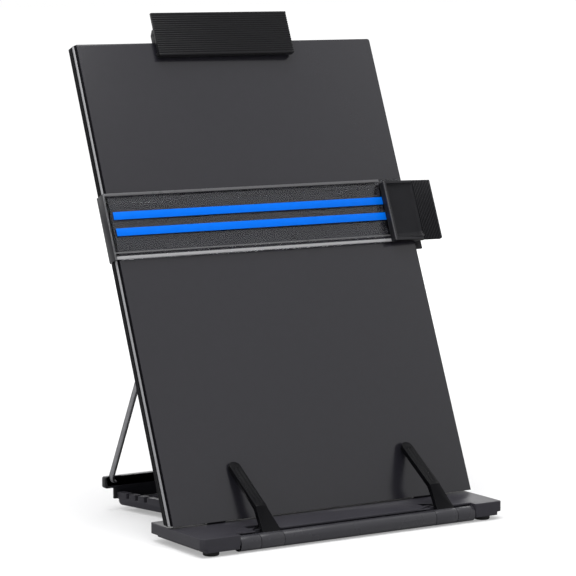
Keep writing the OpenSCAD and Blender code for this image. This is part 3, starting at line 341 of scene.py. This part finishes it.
# ---------------------------------------------------------------------------
# Front rail: a round-cornered tube in a glossier grey than the base, fixed between
# the two leg hubs. A steel rod runs through it for the hubs to turn on. Outside
# each hub sits a short barrel for the leg's spring, with a band of painted shade at its end.
RAIL_GREY = (0.030, 0.0295, 0.035)
rail_plastic = moulded("rail_plastic", RAIL_GREY, 0.28, grain_depth=0.02, reflect=0.32)
# Painted shade: a near-black, barely reflective finish laid on narrow gaps, grooves and edge faces,
# standing for the shade that falls in them.
painted_shade_plastic = moulded("painted_shade_plastic", (0.0030, 0.0030, 0.0040), 0.5, grain_depth=0.03,
                       reflect=0.04)
BARREL_RING = 0.0016
FINE_EDGE = 0.0002


def refinish(piece, finish, belongs):
    """Gives the faces that belongs(centre, normal) picks a finish of their own."""
    piece.data.materials.append(finish)
    index = len(piece.data.materials) - 1
    for face in piece.data.polygons:
        if belongs(face.center, face.normal):
            face.material_index = index


soft_edged("front_rail", "rail_tube", "base", rail_plastic, MOULD_EDGE)
rod_steel = drawn_steel("rod_steel", (0.58, 0.59, 0.61), 0.22)
soft_edged("rail_rod", "rail_rod_bar", "base", rod_steel, MOULD_EDGE)
for side in ("left", "right"):
    low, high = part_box(side + "_spring_barrel")
    end_x, way = (low[0], 1) if side == "left" else (high[0], -1)
    barrel = soft_edged(side + "_spring_barrel", side + "_barrel_tube", side + "_spring",
                        rail_plastic, FINE_EDGE, cuts=[(end_x + way * BARREL_RING, 0, 0)])
    # The band at the barrel's end takes the painted shade finish, standing for the shade in the gap
    # there.
    refinish(barrel, painted_shade_plastic, lambda c, up: (c.x - end_x) * way < BARREL_RING)

# ---------------------------------------------------------------------------
# Leg springs: wound from bright spring wire, one in each hub, with a short
# straight tail at each end.
ORIGIN_X = 0.00975
ORIGIN_Y = 0.05323225
ROD_Y = -0.0334 - ORIGIN_Y
ROD_Z = 0.0058
LEFT_HUB = -0.0647 - ORIGIN_X
RIGHT_HUB = 0.0730 - ORIGIN_X
TURN_STEPS = 28
WIRE_SIDES = 12
COIL_GAP = 0.00025


def wound_spring(name, body, node, centre, across, up, start, turns, coil_r, wire_r, first_angle,
                 tail, finish):
    """A torsion spring: wire swept along a helix about the direction across, with straight tails."""
    across, up = Vector(across).normalized(), Vector(up).normalized()
    side = up.cross(across)
    pitch = 2 * wire_r + COIL_GAP
    steps = int(turns * TURN_STEPS)
    spine, normals = [], []
    for k in range(steps + 1):
        turn = turns * 2 * math.pi * k / steps
        a = first_angle + turn
        out = side * math.cos(a) + up * math.sin(a)
        spine.append(Vector(centre) + across * (start + pitch * turn / (2 * math.pi)) + out * coil_r)
        normals.append(out)
    first_dir = side * math.sin(first_angle) - up * math.cos(first_angle)
    last = first_angle + turns * 2 * math.pi
    last_dir = -side * math.sin(last) + up * math.cos(last)
    spine = [spine[0] + first_dir * tail] + spine + [spine[-1] + last_dir * tail]
    normals = [normals[0]] + normals + [normals[-1]]
    form = bmesh.new()
    rings = []
    for point, out in zip(spine, normals):
        rings.append([form.verts.new(point + (out * math.cos(t) + across * math.sin(t)) * wire_r)
                      for t in [2 * math.pi * j / WIRE_SIDES for j in range(WIRE_SIDES)]])
    for lower, upper in zip(rings, rings[1:]):
        for j in range(WIRE_SIDES):
            after = (j + 1) % WIRE_SIDES
            form.faces.new((lower[j], lower[after], upper[after], upper[j]))
    form.faces.new(list(reversed(rings[0])))
    form.faces.new(rings[-1])
    bmesh.ops.recalc_face_normals(form, faces=form.faces)
    piece = show(name, form, body, finish, 50)
    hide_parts(node)
    return piece


spring_steel = drawn_steel("spring_steel", (0.60, 0.61, 0.63), 0.2, streak=(300, 300, 300))
for side, hub, way in (("left", LEFT_HUB, 1), ("right", RIGHT_HUB, -1)):
    wound_spring(side + "_hub_coil", side + "_spring", side + "_leg_spring", (hub, ROD_Y, ROD_Z),
                 (way, 0, 0), (0, 0, 1), start=-0.0073, turns=7, coil_r=0.0031, wire_r=0.0005,
                 first_angle=math.pi / 2, tail=0.0012, finish=spring_steel)

# ---------------------------------------------------------------------------
# Page legs: glossy near-black mouldings with a rubber tip. A hub in the rail's
# grey turns on the rod, the shin rises to a bent knee, and the bar runs back to
# the page.
HUB_REACH = 0.0062
leg_plastic = moulded("leg_plastic", (0.0028, 0.0028, 0.0036), 0.26, grain_depth=0.015,
                      reflect=0.07)
tip_rubber = moulded("tip_rubber", (0.006, 0.006, 0.006), 0.6, grain_mm=0.5, grain_depth=0.12,
                     reflect=0.2)
for side in ("left", "right"):
    leg = soft_edged(side + "_leg", side + "_leg_moulding", side + "_leg", leg_plastic, FINE_EDGE)
    refinish(leg, rail_plastic,
             lambda c, up: math.hypot(c.y - ROD_Y, c.z - ROD_Z) < HUB_REACH)
    soft_edged(side + "_leg_tip", side + "_leg_pad", side + "_leg", tip_rubber, FINE_EDGE)

# ---------------------------------------------------------------------------
# Board: a smooth, fairly glossy dark grey moulding with a bead and grooves
# along its side edges and thin ribs behind. It hangs on two hinge pins.
LEAN = math.radians(22.3)
FOOT_LINE_Z = 0.0139
OUT_OF_BOARD = Vector((0, -math.cos(LEAN), math.sin(LEAN)))
UP_BOARD = Vector((0, math.sin(LEAN), math.cos(LEAN)))
HALF_BOARD = 0.120
LIP = 0.0012
LIP_EDGE = 0.1166
BEAD = 0.0018
FULL_BEAD = 0.0023
BEAD_DEPTH = 0.0038
GROOVE = 0.0012
GROOVE_REACHED = 0.0011
LIP_LEFT = 0.2
HAIR = 0.00001
# The bead's painted highlight: faces whose normals lie within the given spread of this direction,
# halfway between the strip lamp and the camera, take a light finish.
BEAD_HIGHLIGHT_FACING = (0.64, -0.70, 0.31)
BEAD_HIGHLIGHT_SPREAD = math.radians(17)
FACE_SKIN = 0.00005
FACE_SQUARE = 0.98
EDGE_BAND = 0.006
TOP_BAND = 0.3348
FOOT_BAND = 0.0012


def on_board(x, depth, up):
    """A point given across the board, behind its face and up its slope."""
    return (Vector((x - ORIGIN_X, -ORIGIN_Y, FOOT_LINE_Z)) - OUT_OF_BOARD * depth + UP_BOARD * up)


def off_board(point):
    """The same the other way: across the board, behind its face and up its slope."""
    out = point - Vector((-ORIGIN_X, -ORIGIN_Y, FOOT_LINE_Z))
    return out.x, -out.dot(OUT_OF_BOARD), out.dot(UP_BOARD)


board_plastic = moulded("board_plastic", (0.0150, 0.0145, 0.0190), 0.20, grain_depth=0.006,
                        mottle=0.03, sheen_spread=0.012, reflect=0.45)
back_plastic = moulded("board_back_plastic", (0.0140, 0.0136, 0.0175), 0.42, grain_depth=0.04,
                       reflect=0.22)
# Painted highlight: a light grey, fully reflective finish that stands for the strip lamp's highlight
# on the bead and on the strip's hook.
painted_crown_highlight = moulded("painted_crown_highlight_finish", (0.20, 0.20, 0.21), 0.42, grain_depth=0.01,
                       reflect=1.0)


def drawn_in(point):
    """Draws the lip in from the side and rounds the bead out fuller."""
    x, depth, high = off_board(point)
    if abs(x) < HALF_BOARD - 2 * BEAD:
        return point
    if depth < LIP + HAIR and x < -LIP_EDGE:
        return on_board(-LIP_EDGE + (x + LIP_EDGE) * LIP_LEFT, depth, high)
    if (LIP + GROOVE_REACHED < depth < LIP + GROOVE + 2 * BEAD
            and abs(x) > HALF_BOARD - BEAD - HAIR):
        grow = FULL_BEAD / BEAD
        out = HALF_BOARD - FULL_BEAD + (abs(x) - HALF_BOARD + BEAD) * grow
        return on_board(math.copysign(out, x), BEAD_DEPTH + (depth - LIP - GROOVE - BEAD) * grow, high)
    return point


board = soft_edged("board", "board_moulding", "panel", board_plastic, FINE_EDGE, reshape=drawn_in)


def on_bead_highlight(c, up):
    x, depth, high = off_board(c)
    highlight_facing = Vector((math.copysign(BEAD_HIGHLIGHT_FACING[0], x), BEAD_HIGHLIGHT_FACING[1], BEAD_HIGHLIGHT_FACING[2]))
    return (abs(x) > HALF_BOARD - FULL_BEAD and LIP < depth < BEAD_DEPTH + FULL_BEAD
            and up.angle(highlight_facing) < BEAD_HIGHLIGHT_SPREAD)


# Painted shade: all of the board's side, top and foot faces, except its front face and the left lip,
# take the near-black painted shade finish, standing for the dark lines of shade along its edges.
def on_edge(c, up):
    x, depth, high = off_board(c)
    if depth < FACE_SKIN and up.dot(OUT_OF_BOARD) > FACE_SQUARE:
        return False
    near_left_lip = x < 0 and depth < LIP * 0.8
    at_side = abs(x) > HALF_BOARD - EDGE_BAND and not near_left_lip
    return at_side or high > TOP_BAND or high < FOOT_BAND


refinish(board, back_plastic, lambda c, up: off_board(c)[1] > LIP)
# Painted shade on the board's edge faces.
refinish(board, painted_shade_plastic, on_edge)
# Painted highlight along the bead.
refinish(board, painted_crown_highlight, on_bead_highlight)
soft_edged("hinge_pins", "hinge_pin_bars", "panel", rod_steel, FINE_EDGE)

# ---------------------------------------------------------------------------
# Ejector marks: the round marks that the mould's pins leave on the back of the
# board, moulded with it. Each is a low disc with a raised rim.
MARKS_ACROSS = (-0.088, -0.028, 0.028, 0.088)
MARKS_UP = (0.052, 0.150, 0.240, 0.300)
MARK_MIDDLE = 0.00004
MARK_PROFILE = ((0.0022, 0.00005), (0.0026, 0.00016), (0.0030, 0.00016), (0.0033, -0.00005))
MARK_SIDES = 28
FACE_BACK = 0.002

marks = bmesh.new()
for x in MARKS_ACROSS:
    for high in MARKS_UP:
        rings = [[marks.verts.new(on_board(x, FACE_BACK + MARK_MIDDLE, high))]]
        for reach, lift in MARK_PROFILE:
            ring = []
            for k in range(MARK_SIDES):
                turn = math.tau * k / MARK_SIDES
                ring.append(marks.verts.new(on_board(x + reach * math.cos(turn), FACE_BACK + lift,
                                                     high + reach * math.sin(turn))))
            rings.append(ring)
        for k in range(MARK_SIDES):
            after = (k + 1) % MARK_SIDES
            marks.faces.new((rings[0][0], rings[1][k], rings[1][after]))
            for lower, upper in zip(rings[1:], rings[2:]):
                marks.faces.new((lower[k], upper[k], upper[after], lower[after]))
bmesh.ops.recalc_face_normals(marks, faces=marks.faces)
show("ejector_marks", marks, "panel", back_plastic, 50)

# ---------------------------------------------------------------------------
# Saddles: two black brackets screwed to the board's back; the wire's bent ends
# turn in them.
black_plastic = moulded("black_plastic", (0.0045, 0.0045, 0.0058), 0.32, grain_depth=0.03,
                        reflect=0.2)
soft_edged("wire_saddles", "saddle_brackets", "panel", black_plastic, MOULD_EDGE)
soft_edged("saddle_screws", "saddle_pan_heads", "panel", screw_steel, SCREW_EDGE)

# ---------------------------------------------------------------------------
# Stand: one bent steel wire with a dark plating, and the moulded foot bar
# pressed over its lower run.
WIRE_EDGE_TINT = (0.02, 0.02, 0.02, 1)
FOOT_EDGE = 0.0004
wire_finish = drawn_steel("dark_plated_steel", (0.30, 0.30, 0.31), 0.3, streak=(60, 60, 60))
for part in wire_finish.node_tree.nodes:
    if part.type == "BSDF_PRINCIPLED":
        part.inputs["Specular Tint"].default_value = WIRE_EDGE_TINT
foot_plastic = moulded("foot_plastic", (0.0100, 0.0100, 0.0125), 0.34, grain_depth=0.03,
                       reflect=0.22)
soft_edged("support_wire", "stand_wire", "support", wire_finish, edge=0.0)
soft_edged("support_foot", "stand_foot_bar", "support", foot_plastic, FOOT_EDGE)

# ---------------------------------------------------------------------------
# Top clip: a black bracket screwed over the board's top edge; its ribbed jaw
# turns on a steel pin against a wound spring and holds the page with a grip.
JAW_EDGE = 0.00012
clip_plastic = moulded("clip_plastic", (0.0055, 0.0055, 0.0068), 0.34, grain_depth=0.02,
                       reflect=0.18)
soft_edged("clip_body", "clip_bracket", "panel", clip_plastic, MOULD_EDGE)
soft_edged("clip_screws", "clip_pan_heads", "panel", screw_steel, SCREW_EDGE)
soft_edged("clip_pin", "clip_pin_bar", "panel", rod_steel, FINE_EDGE)
soft_edged("clip_jaw", "clip_jaw_moulding", "clip", clip_plastic, JAW_EDGE)
soft_edged("clip_grip", "clip_grip_strip", "clip", tip_rubber, FINE_EDGE)
wound_spring("clip_coil", "panel", "clip_spring", on_board(-0.004, 0.0024, 0.3417),
             (1, 0, 0), UP_BOARD, start=-0.005, turns=8, coil_r=0.0026, wire_r=0.00045,
             first_angle=math.pi, tail=0.0024, finish=spring_steel)

# ---------------------------------------------------------------------------
# Line guide: a clear moulded strip with ribs along both edges and two blue
# stripes printed on it. It hooks round the board's left edge.
STRIPE_BLUE = (0.0005, 0.150, 0.78)
STRIP_BENDING = 1.18
STRIP_EDGE = 0.00015
INK_EDGE = 0.00005
STRIP_FOOT = 0.182
STRIP_HEAD = 0.228
HEAD_CREST = 0.0018
FOOT_CREST = 0.0020
SECOND_CREST = (0.004, 0.005)
CREST_DEPTH = 0.0005
HOOK_FROM = 0.0004
HOOK_CREST_DEPTH = 0.002
# The hook's painted highlight: faces within this spread of this direction take the bead's painted
# highlight finish.
HOOK_HIGHLIGHT_FACING = Vector((-0.64, -0.70, 0.31))
HOOK_HIGHLIGHT_SPREAD = math.radians(30)
FACES_FRONT = 0.3

clear_plastic, n, l = new_finish("clear_plastic")
strip_out = n.new("ShaderNodeOutputMaterial")
strip_skin = n.new("ShaderNodeBsdfPrincipled")
strip_skin.inputs["Transmission Weight"].default_value = 1
strip_skin.inputs["IOR"].default_value = STRIP_BENDING
strip_spot = n.new("ShaderNodeTexCoord")
strip_flow = n.new("ShaderNodeMapping")
strip_flow.inputs["Scale"].default_value = (6, 60, 60)
strip_waves = n.new("ShaderNodeTexNoise")
strip_waves.inputs["Scale"].default_value = 3
strip_waves.inputs["Detail"].default_value = 3
strip_tone = n.new("ShaderNodeValToRGB")
strip_tone.color_ramp.elements[0].color = (0.93, 0.945, 0.96, 1)
strip_tone.color_ramp.elements[1].color = (0.97, 0.98, 0.99, 1)
strip_gloss = n.new("ShaderNodeMapRange")
strip_gloss.inputs["To Min"].default_value = 0.02
strip_gloss.inputs["To Max"].default_value = 0.06
strip_relief = n.new("ShaderNodeBump")
strip_relief.inputs["Strength"].default_value = 0.015
strip_relief.inputs["Distance"].default_value = 0.0002
l.new(strip_spot.outputs["Object"], strip_flow.inputs["Vector"])
l.new(strip_flow.outputs["Vector"], strip_waves.inputs["Vector"])
l.new(strip_waves.outputs["Fac"], strip_tone.inputs["Fac"])
l.new(strip_tone.outputs["Color"], strip_skin.inputs["Base Color"])
l.new(strip_waves.outputs["Fac"], strip_gloss.inputs["Value"])
l.new(strip_gloss.outputs["Result"], strip_skin.inputs["Roughness"])
l.new(strip_waves.outputs["Fac"], strip_relief.inputs["Height"])
l.new(strip_relief.outputs["Normal"], strip_skin.inputs["Normal"])
l.new(strip_skin.outputs[0], strip_out.inputs["Surface"])
strip = soft_edged("guide_strip", "clear_strip", "guide", clear_plastic, STRIP_EDGE)
# Painted highlights: opaque grey finishes on the front faces of the strip's rib crests, a dim one at
# its head and second rib and a bright one at its foot, standing for the light those crests catch.
dim_crest_highlight = moulded("painted_dim_crest_highlight", (0.085, 0.085, 0.09), 0.3, grain_depth=0.02,
                       reflect=0.5)
bright_crest_highlight = moulded("painted_bright_crest_highlight", (0.30, 0.30, 0.31), 0.25, grain_depth=0.02,
                       reflect=0.6)
STRIP_FRONT = min(off_board(corner.co)[1] for corner in strip.data.vertices)


def proud(c, low, high):
    x, depth, up_board = off_board(c)
    return depth < STRIP_FRONT + CREST_DEPTH and low < up_board < high


def on_dim_highlight_crest(c, up):
    if up.dot(OUT_OF_BOARD) <= FACES_FRONT:
        return False
    return (proud(c, STRIP_HEAD - HEAD_CREST, STRIP_HEAD)
            or proud(c, STRIP_FOOT + SECOND_CREST[0], STRIP_FOOT + SECOND_CREST[1]))


def on_hook_highlight(c, up):
    x, depth, high = off_board(c)
    return (x < -HALF_BOARD and depth < STRIP_FRONT + HOOK_CREST_DEPTH
            and up.angle(HOOK_HIGHLIGHT_FACING) < HOOK_HIGHLIGHT_SPREAD)


def on_bright_highlight_crest(c, up):
    return up.dot(OUT_OF_BOARD) > FACES_FRONT and proud(c, STRIP_FOOT, STRIP_FOOT + FOOT_CREST)


# Painted highlights on the rib crests.
refinish(strip, dim_crest_highlight, on_dim_highlight_crest)
hook_plastic = moulded("hook_plastic", (0.012, 0.012, 0.015), 0.2, grain_depth=0.01, reflect=0.3)
refinish(strip, hook_plastic, lambda c, up: off_board(c)[0] < -HALF_BOARD + HOOK_FROM)
# Painted highlight on the hook.
refinish(strip, painted_crown_highlight, on_hook_highlight)
refinish(strip, bright_crest_highlight, on_bright_highlight_crest)

stripe_ink = moulded("stripe_ink", STRIPE_BLUE, 0.35, grain_depth=0.01, mottle=0.03, reflect=0.08)
soft_edged("guide_stripes", "printed_stripes", "guide", stripe_ink, INK_EDGE)

# ---------------------------------------------------------------------------
# Clamp block of the line guide: a black moulding with a pocket and a ribbed
# finger pad, fixed to the strip's right end.
CLAMP_LEFT = 0.099
PAD_LEFT = 0.124
PAD_RIGHT = 0.1403
PAD_SLOPE = math.radians(4)
CLAMP_RIM = 0.0019
CLAMP_FRONT = 0.008
VALLEY_FROM = 0.00015
VALLEY_TO = 0.0008
RIM_FACES_FRONT = 0.4
BLOCK_EDGE = 0.00022
clamp_plastic = moulded("clamp_plastic", (0.0135, 0.0135, 0.0160), 0.30, grain_depth=0.02,
                        reflect=0.22)
block = soft_edged("clamp_body", "clamp_block", "guide", clamp_plastic, BLOCK_EDGE)


def in_rib_valley(c, up):
    x, depth, high = off_board(c)
    crest = -CLAMP_FRONT + (x - CLAMP_LEFT) * math.tan(PAD_SLOPE)
    return PAD_LEFT < x < PAD_RIGHT and VALLEY_FROM < depth - crest < VALLEY_TO


# Painted shade: the valleys between the finger pad's ribs take the near-black painted shade finish.
refinish(block, painted_shade_plastic, in_rib_valley)
# Painted highlight: a lighter grey finish on the front faces of the block's left rim stands for the
# light along that edge.
painted_rim_highlight = moulded("painted_rim_highlight", (0.055, 0.055, 0.060), 0.3, grain_depth=0.02, reflect=0.4)
refinish(block, painted_rim_highlight,
         lambda c, up: (off_board(c)[0] < CLAMP_LEFT + CLAMP_RIM
                        and up.dot(OUT_OF_BOARD) > RIM_FACES_FRONT))

# ---------------------------------------------------------------------------
# Pocket lining: the smooth floor of the clamp's pocket, with a small fillet at
# its sides and head and a ramp at its foot. It is part of the real moulding, and
# it covers the ends of the block's ears.
CLAMP_FOOT = 0.1812
CLAMP_HEAD = 0.2252
RAMP_RISE = 0.0065
RAMP_LIP = 0.001
FLOOR_DEPTH = 0.00335
LINING_DEPTH = 0.0052
LINING_LIFT = 0.0001
SIDE_GAP = 0.00012
FOOT_GAP = 0.0002
FILLET = 0.0009
FILLET_REACH = 0.0014
LINING_THICK = 0.00008

lining = bmesh.new()
rows, columns = 34, 20
left, right = CLAMP_LEFT + CLAMP_RIM + SIDE_GAP, PAD_LEFT - SIDE_GAP
foot, head = CLAMP_FOOT + CLAMP_RIM + FOOT_GAP, CLAMP_HEAD - CLAMP_RIM - SIDE_GAP
grid = []
for row in range(rows + 1):
    high = foot + (head - foot) * row / rows
    line = []
    for column in range(columns + 1):
        across = column / columns
        slide = max(0.0, 1 - (high - CLAMP_FOOT - CLAMP_RIM) / RAMP_RISE)
        ramp = slide * (CLAMP_FRONT - RAMP_LIP - FLOOR_DEPTH)
        depth = min(-LINING_DEPTH, -FLOOR_DEPTH - ramp - LINING_LIFT)
        side_gap = min(across, 1 - across) * (right - left)
        depth -= FILLET * max(0.0, 1 - side_gap / FILLET_REACH) ** 2
        depth -= FILLET * max(0.0, 1 - (head - high) / FILLET_REACH) ** 2
        line.append(lining.verts.new(on_board(left + (right - left) * across, depth, high)))
    grid.append(line)
for lower, upper in zip(grid, grid[1:]):
    for k in range(columns):
        lining.faces.new((lower[k], lower[k + 1], upper[k + 1], upper[k]))
bmesh.ops.solidify(lining, geom=lining.faces[:], thickness=LINING_THICK)
bmesh.ops.recalc_face_normals(lining, faces=lining.faces)
lining_plastic = moulded("lining_plastic", (0.0200, 0.0200, 0.0235), 0.42, grain_mm=0.5,
                         grain_depth=0.12, reflect=0.25)
show("pocket_lining", lining, "guide", lining_plastic, 40)

# ---------------------------------------------------------------------------
# Clamp lever: a black moulding with a rubber pad, behind the board's right edge.
# It turns on a steel pin, and a wound spring presses it to the board.
soft_edged("clamp_pin", "clamp_pin_bar", "guide", rod_steel, FINE_EDGE)
soft_edged("clamp_jaw", "clamp_lever", "lever", clamp_plastic, MOULD_EDGE)
soft_edged("clamp_pad", "lever_pad", "lever", tip_rubber, FINE_EDGE)
wound_spring("clamp_coil", "guide", "clamp_spring", on_board(0.1236, 0.0042, 0.2032),
             UP_BOARD, OUT_OF_BOARD, start=-0.004, turns=7, coil_r=0.0019, wire_r=0.00035,
             first_angle=math.pi / 2, tail=0.0014, finish=spring_steel)
